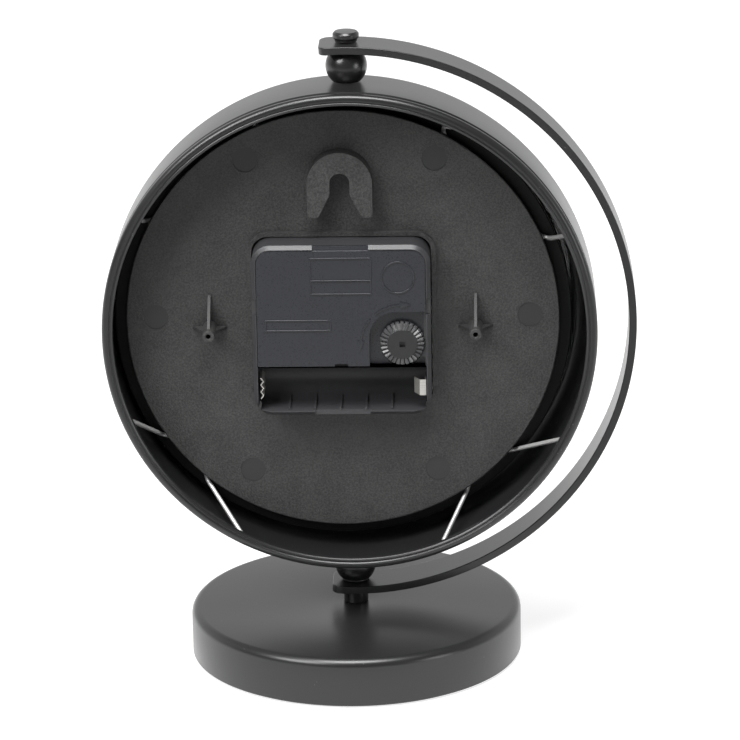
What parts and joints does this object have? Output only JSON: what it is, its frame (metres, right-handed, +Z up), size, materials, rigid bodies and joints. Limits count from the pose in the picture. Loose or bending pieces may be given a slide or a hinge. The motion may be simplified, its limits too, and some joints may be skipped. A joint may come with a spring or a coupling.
{
  "type": "table clock",
  "caption": "Round table clock: a shallow drum with an open back swivels on ball pivots in a C-shaped flat steel arm on a weighted round base.",
  "frame": {"origin": "centre of the base pad's underside, on the pivot axis", "axes": "+Z up along the pivot axis, the dial faces -Y, the open back faces +Y, and the arm bends round the -X side"},
  "size_m": [0.1675, 0.106, 0.2042],
  "materials": {
    "black_paint": "satin black stove enamel",
    "weight_iron": "raw casting",
    "pad_rubber": "matt",
    "plated_steel": "zinc plated",
    "lens_glass": "clear and flat",
    "ring_plastic": "matt black",
    "dial_paint": "matt ivory with black numbers",
    "turned_brass": "turned",
    "pan_plastic": "moulded with a fine grain",
    "spring_wire": "drawn wire",
    "case_plastic": "smooth moulding",
    "cover_plastic": "semi-gloss moulding",
    "contact_strip": "nickel plated strip",
    "coil_copper": "enamelled copper wire",
    "board_resin": "glass fibre laminate",
    "gear_plastic": "moulded",
    "hand_paint": "satin black"
  },
  "bodies": {
    "stand": {"base_shell": "black_paint", "base_weight": "weight_iron", "base_pad": "pad_rubber", "base_screw": "plated_steel", "base_screw_washer": "plated_steel", "arm_spacer": "black_paint", "arm_strip": "black_paint", "lower_washer": "black_paint", "top_screw": "black_paint"},
    "drum": {"drum_shell": "black_paint", "upper_ball": "black_paint", "lower_ball": "black_paint", "glass_lens": "lens_glass", "dial_ring": "ring_plastic", "dial_plate": "dial_paint", "fixing_nut": "turned_brass", "rubber_washer": "pad_rubber", "back_pan": "pan_plastic", "hanging_hook": "pan_plastic", "spring_clip_1": "spring_wire", "spring_clip_2": "spring_wire", "spring_clip_3": "spring_wire", "spring_clip_4": "spring_wire", "movement_case": "case_plastic", "movement_cover": "cover_plastic", "spring_contact": "contact_strip", "tab_contact": "contact_strip", "stator": "plated_steel", "coil": "coil_copper", "circuit_board": "board_resin", "quartz_crystal": "plated_steel", "train_bridge": "gear_plastic"},
    "seconds_arbor": {"seconds_wheel": "gear_plastic", "second_hand": "hand_paint"},
    "third_arbor": {"third_wheel": "gear_plastic"},
    "rotor_arbor": {"rotor": "plated_steel"},
    "reduction_arbor": {"reduction_wheel": "gear_plastic"},
    "centre_arbor": {"centre_wheel": "gear_plastic"},
    "minute_arbor": {"minute_pipe": "turned_brass", "minute_hand": "hand_paint"},
    "motion_arbor": {"motion_wheel": "gear_plastic"},
    "hour_arbor": {"hour_wheel": "gear_plastic", "hour_hand": "hand_paint"},
    "knob_arbor": {"setting_knob": "case_plastic"}
  },
  "joints": [
    {"name": "drum_swivel", "type": "hinge", "parent": "stand", "child": "drum", "pos_m": [0, 0, 0.1108], "axis": [0, 0, 1], "continuous": true},
    {"name": "second_spin", "type": "hinge", "parent": "drum", "child": "seconds_arbor", "pos_m": [0.0026, 0, 0.1108], "axis": [0, 1, 0], "continuous": true},
    {"name": "third_spin", "type": "hinge", "parent": "drum", "child": "third_arbor", "pos_m": [-0.00181, 0, 0.11844], "axis": [0, 1, 0], "continuous": true},
    {"name": "rotor_spin", "type": "hinge", "parent": "drum", "child": "rotor_arbor", "pos_m": [-0.00563, 0, 0.12226], "axis": [0, 1, 0], "continuous": true},
    {"name": "reduction_spin", "type": "hinge", "parent": "drum", "child": "reduction_arbor", "pos_m": [0.01151, 0, 0.1108], "axis": [0, 1, 0], "continuous": true},
    {"name": "centre_spin", "type": "hinge", "parent": "drum", "child": "centre_arbor", "pos_m": [0.0026, 0, 0.1108], "axis": [0, 1, 0], "continuous": true},
    {"name": "minute_spin", "type": "hinge", "parent": "drum", "child": "minute_arbor", "pos_m": [0.0026, 0, 0.1108], "axis": [0, 1, 0], "continuous": true},
    {"name": "motion_spin", "type": "hinge", "parent": "drum", "child": "motion_arbor", "pos_m": [-0.00695, 0, 0.1098], "axis": [0, 1, 0], "continuous": true},
    {"name": "hour_spin", "type": "hinge", "parent": "drum", "child": "hour_arbor", "pos_m": [0.0026, 0, 0.1108], "axis": [0, 1, 0], "continuous": true},
    {"name": "knob_spin", "type": "hinge", "parent": "drum", "child": "knob_arbor", "pos_m": [-0.0164, 0, 0.1063], "axis": [0, 1, 0], "continuous": true}
  ],
  "couplings": [
    {"joint": "third_spin", "follows": "second_spin", "ratio": -6},
    {"joint": "rotor_spin", "follows": "second_spin", "ratio": 30},
    {"joint": "reduction_spin", "follows": "second_spin", "ratio": -0.13333},
    {"joint": "centre_spin", "follows": "second_spin", "ratio": 0.016667},
    {"joint": "motion_spin", "follows": "minute_spin", "ratio": -0.33333},
    {"joint": "hour_spin", "follows": "minute_spin", "ratio": 0.083333},
    {"joint": "knob_spin", "follows": "minute_spin", "ratio": 0.83333}
  ]
}
